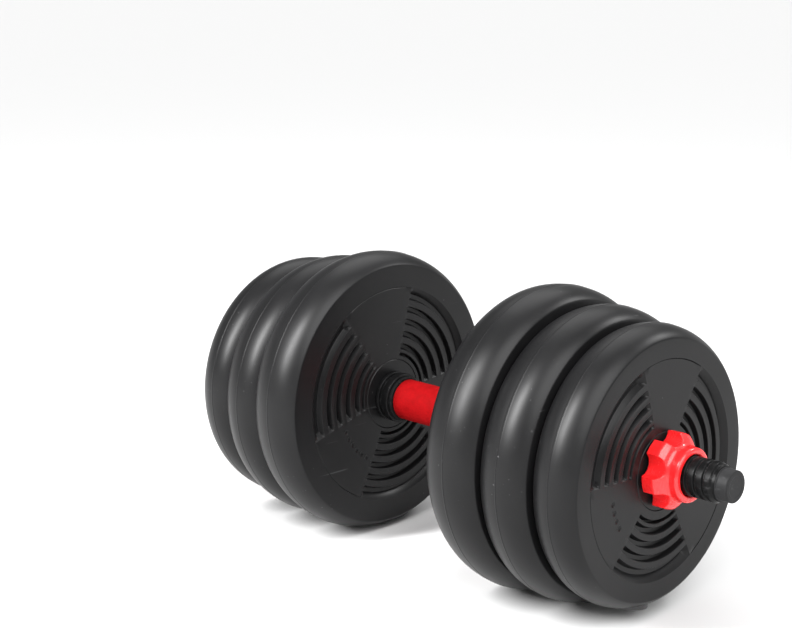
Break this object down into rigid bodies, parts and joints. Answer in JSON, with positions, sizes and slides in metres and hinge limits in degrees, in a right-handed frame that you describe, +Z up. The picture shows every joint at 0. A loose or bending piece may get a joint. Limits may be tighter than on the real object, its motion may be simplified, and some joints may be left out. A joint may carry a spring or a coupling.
{
  "type": "adjustable dumbbell",
  "caption": "Short threaded bar with a padded hand grip, round filled plastic weight plates on both ends, and screw-on star nuts that hold the plates against stop collars.",
  "frame": {"origin": "on the floor, under the middle of the bar, at the bottom centre of the whole dumbbell's box", "axes": "+X along the bar towards the right-hand stack, +Z up, +Y across"},
  "size_m": [0.4538, 0.202, 0.2018],
  "materials": {
    "plate_plastic": "satin moulded polyethylene, dark charcoal, lightly scuffed",
    "plate_filling": "set cement mix, hidden inside the shell",
    "port_cap_plastic": "matte moulded cap",
    "thread_black": "satin black with paler worn crests",
    "cap_black": "satin black",
    "collar_black": "satin black",
    "ring_black": "matte black",
    "washer_rubber": "matte black",
    "nut_red": "glossy moulded red",
    "grip_red": "soft matte red, finely mottled",
    "steel_core": "drawn steel tube"
  },
  "bodies": {
    "bar": {"core_tube": "steel_core", "grip_sleeve": "grip_red", "threaded_sleeve_right": "thread_black", "end_cap_right": "cap_black", "stop_collar_right": "collar_black", "grip_ring_right": "ring_black", "threaded_sleeve_left": "thread_black", "end_cap_left": "cap_black", "stop_collar_left": "collar_black", "grip_ring_left": "ring_black"},
    "inner_plate_right": {"inner_plate_shell_right": "plate_plastic", "inner_plate_filling_right": "plate_filling", "inner_plate_port_cap_right": "port_cap_plastic"},
    "middle_plate_right": {"middle_plate_shell_right": "plate_plastic", "middle_plate_filling_right": "plate_filling", "middle_plate_port_cap_right": "port_cap_plastic"},
    "outer_plate_right": {"outer_plate_shell_right": "plate_plastic", "outer_plate_filling_right": "plate_filling", "outer_plate_port_cap_right": "port_cap_plastic"},
    "nut_washer_right": {"nut_washer_right": "washer_rubber"},
    "star_nut_right": {"star_nut_right": "nut_red"},
    "inner_plate_left": {"inner_plate_shell_left": "plate_plastic", "inner_plate_filling_left": "plate_filling", "inner_plate_port_cap_left": "port_cap_plastic"},
    "middle_plate_left": {"middle_plate_shell_left": "plate_plastic", "middle_plate_filling_left": "plate_filling", "middle_plate_port_cap_left": "port_cap_plastic"},
    "outer_plate_left": {"outer_plate_shell_left": "plate_plastic", "outer_plate_filling_left": "plate_filling", "outer_plate_port_cap_left": "port_cap_plastic"},
    "nut_washer_left": {"nut_washer_left": "washer_rubber"},
    "star_nut_left": {"star_nut_left": "nut_red"}
  },
  "joints": [
    {"name": "nut_washer_slide_right", "type": "slide", "parent": "bar", "child": "nut_washer_right", "axis": [1, 0, 0], "range_m": [0, 0.225]},
    {"name": "star_nut_spin_right", "type": "hinge", "parent": "nut_washer_right", "child": "star_nut_right", "pos_m": [0.1755, 0, 0.0997], "axis": [1, 0, 0], "range_deg": [0, 13500]},
    {"name": "inner_plate_slide_right", "type": "slide", "parent": "bar", "child": "inner_plate_right", "axis": [1, 0, 0], "range_m": [0, 0.18]},
    {"name": "middle_plate_slide_right", "type": "slide", "parent": "bar", "child": "middle_plate_right", "axis": [1, 0, 0], "range_m": [0, 0.195]},
    {"name": "outer_plate_slide_right", "type": "slide", "parent": "bar", "child": "outer_plate_right", "axis": [1, 0, 0], "range_m": [0, 0.21]},
    {"name": "nut_washer_slide_left", "type": "slide", "parent": "bar", "child": "nut_washer_left", "axis": [-1, 0, 0], "range_m": [0, 0.225]},
    {"name": "star_nut_spin_left", "type": "hinge", "parent": "nut_washer_left", "child": "star_nut_left", "pos_m": [-0.1755, 0, 0.0997], "axis": [-1, 0, 0], "range_deg": [0, 13500]},
    {"name": "inner_plate_slide_left", "type": "slide", "parent": "bar", "child": "inner_plate_left", "axis": [-1, 0, 0], "range_m": [0, 0.18]},
    {"name": "middle_plate_slide_left", "type": "slide", "parent": "bar", "child": "middle_plate_left", "axis": [-1, 0, 0], "range_m": [0, 0.195]},
    {"name": "outer_plate_slide_left", "type": "slide", "parent": "bar", "child": "outer_plate_left", "axis": [-1, 0, 0], "range_m": [0, 0.21]}
  ],
  "couplings": [
    {"joint": "star_nut_spin_right", "follows": "nut_washer_slide_right", "rad_per_m": 1047.2},
    {"joint": "inner_plate_slide_right", "follows": "nut_washer_slide_right", "ratio": 0.8},
    {"joint": "middle_plate_slide_right", "follows": "nut_washer_slide_right", "ratio": 0.86667},
    {"joint": "outer_plate_slide_right", "follows": "nut_washer_slide_right", "ratio": 0.93333},
    {"joint": "star_nut_spin_left", "follows": "nut_washer_slide_left", "rad_per_m": 1047.2},
    {"joint": "inner_plate_slide_left", "follows": "nut_washer_slide_left", "ratio": 0.8},
    {"joint": "middle_plate_slide_left", "follows": "nut_washer_slide_left", "ratio": 0.86667},
    {"joint": "outer_plate_slide_left", "follows": "nut_washer_slide_left", "ratio": 0.93333}
  ]
}
